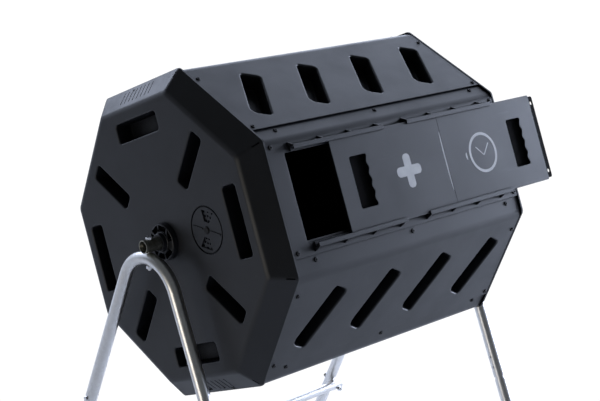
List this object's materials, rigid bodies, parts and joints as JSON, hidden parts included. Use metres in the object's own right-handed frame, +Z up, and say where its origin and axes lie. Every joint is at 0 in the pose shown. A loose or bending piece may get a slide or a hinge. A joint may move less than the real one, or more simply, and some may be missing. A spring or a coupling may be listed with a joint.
{
  "type": "compost tumbler",
  "caption": "Eight-sided dual-chamber compost drum that turns on a fixed axle tube between bent tube legs, with a sliding door and adjustable air vents.",
  "frame": {"origin": "on the floor, at the middle of the whole object's box in X and Y", "axes": "+X along the axle, +Y to the rear (the door faces -Y), +Z up"},
  "size_m": [0.729, 0.6616, 0.9139],
  "materials": {
    "drum_plastic": "satin black moulded polypropylene",
    "door_plastic": "satin dark grey moulded polypropylene",
    "foot_plastic": "matt black",
    "galvanised_steel": "galvanised, satin",
    "axle_steel": "dark oiled steel",
    "zinc_fasteners": "bright zinc plated"
  },
  "bodies": {
    "stand": {"axle_tube": "axle_steel", "upper_leg_left": "galvanised_steel", "axle_bolt_left": "zinc_fasteners", "axle_nut_left": "zinc_fasteners", "lower_leg_front_left": "galvanised_steel", "foot_cap_front_left": "foot_plastic", "leg_bolt_front_left_1": "zinc_fasteners", "leg_bolt_front_left_2": "zinc_fasteners", "bar_bolt_front_left": "zinc_fasteners", "bar_nut_front_left": "zinc_fasteners", "lower_leg_rear_left": "galvanised_steel", "foot_cap_rear_left": "foot_plastic", "leg_bolt_rear_left_1": "zinc_fasteners", "leg_bolt_rear_left_2": "zinc_fasteners", "bar_bolt_rear_left": "zinc_fasteners", "bar_nut_rear_left": "zinc_fasteners", "upper_leg_right": "galvanised_steel", "axle_bolt_right": "zinc_fasteners", "axle_nut_right": "zinc_fasteners", "lower_leg_front_right": "galvanised_steel", "foot_cap_front_right": "foot_plastic", "leg_bolt_front_right_1": "zinc_fasteners", "leg_bolt_front_right_2": "zinc_fasteners", "bar_bolt_front_right": "zinc_fasteners", "bar_nut_front_right": "zinc_fasteners", "lower_leg_rear_right": "galvanised_steel", "foot_cap_rear_right": "foot_plastic", "leg_bolt_rear_right_1": "zinc_fasteners", "leg_bolt_rear_right_2": "zinc_fasteners", "bar_bolt_rear_right": "zinc_fasteners", "bar_nut_rear_right": "zinc_fasteners", "cross_bar_front": "galvanised_steel", "cross_bar_rear": "galvanised_steel"},
    "drum": {"end_panel_left": "drum_plastic", "hub_bushing_left": "drum_plastic", "vent_pivot_left": "drum_plastic", "end_panel_right": "drum_plastic", "hub_bushing_right": "drum_plastic", "vent_pivot_right": "drum_plastic", "side_panel_1": "drum_plastic", "side_panel_2": "drum_plastic", "side_panel_3": "drum_plastic", "side_panel_4": "drum_plastic", "side_panel_5": "drum_plastic", "side_panel_6": "drum_plastic", "side_panel_7": "drum_plastic", "door_frame_panel": "drum_plastic", "centre_divider": "drum_plastic", "divider_bush": "drum_plastic"},
    "door": {"door_left": "door_plastic", "door_right": "door_plastic"},
    "vent_left": {"vent_dial_left": "drum_plastic"},
    "vent_right": {"vent_dial_right": "drum_plastic"}
  },
  "joints": [
    {"name": "drum_turn", "type": "hinge", "parent": "stand", "child": "drum", "pos_m": [-0.00795, 0, 0.626], "axis": [1, 0, 0], "range_deg": [-180, 60]},
    {"name": "door_slide", "type": "slide", "parent": "drum", "child": "door", "axis": [1, 0, 0], "range_m": [-0.36, 0.16]},
    {"name": "vent_turn_left", "type": "hinge", "parent": "drum", "child": "vent_left", "pos_m": [-0.31445, -0.10532, 0.66963], "axis": [1, 0, 0], "range_deg": [0, 90]},
    {"name": "vent_turn_right", "type": "hinge", "parent": "drum", "child": "vent_right", "pos_m": [0.29855, 0.10532, 0.66963], "axis": [1, 0, 0], "range_deg": [-90, 0]}
  ]
}
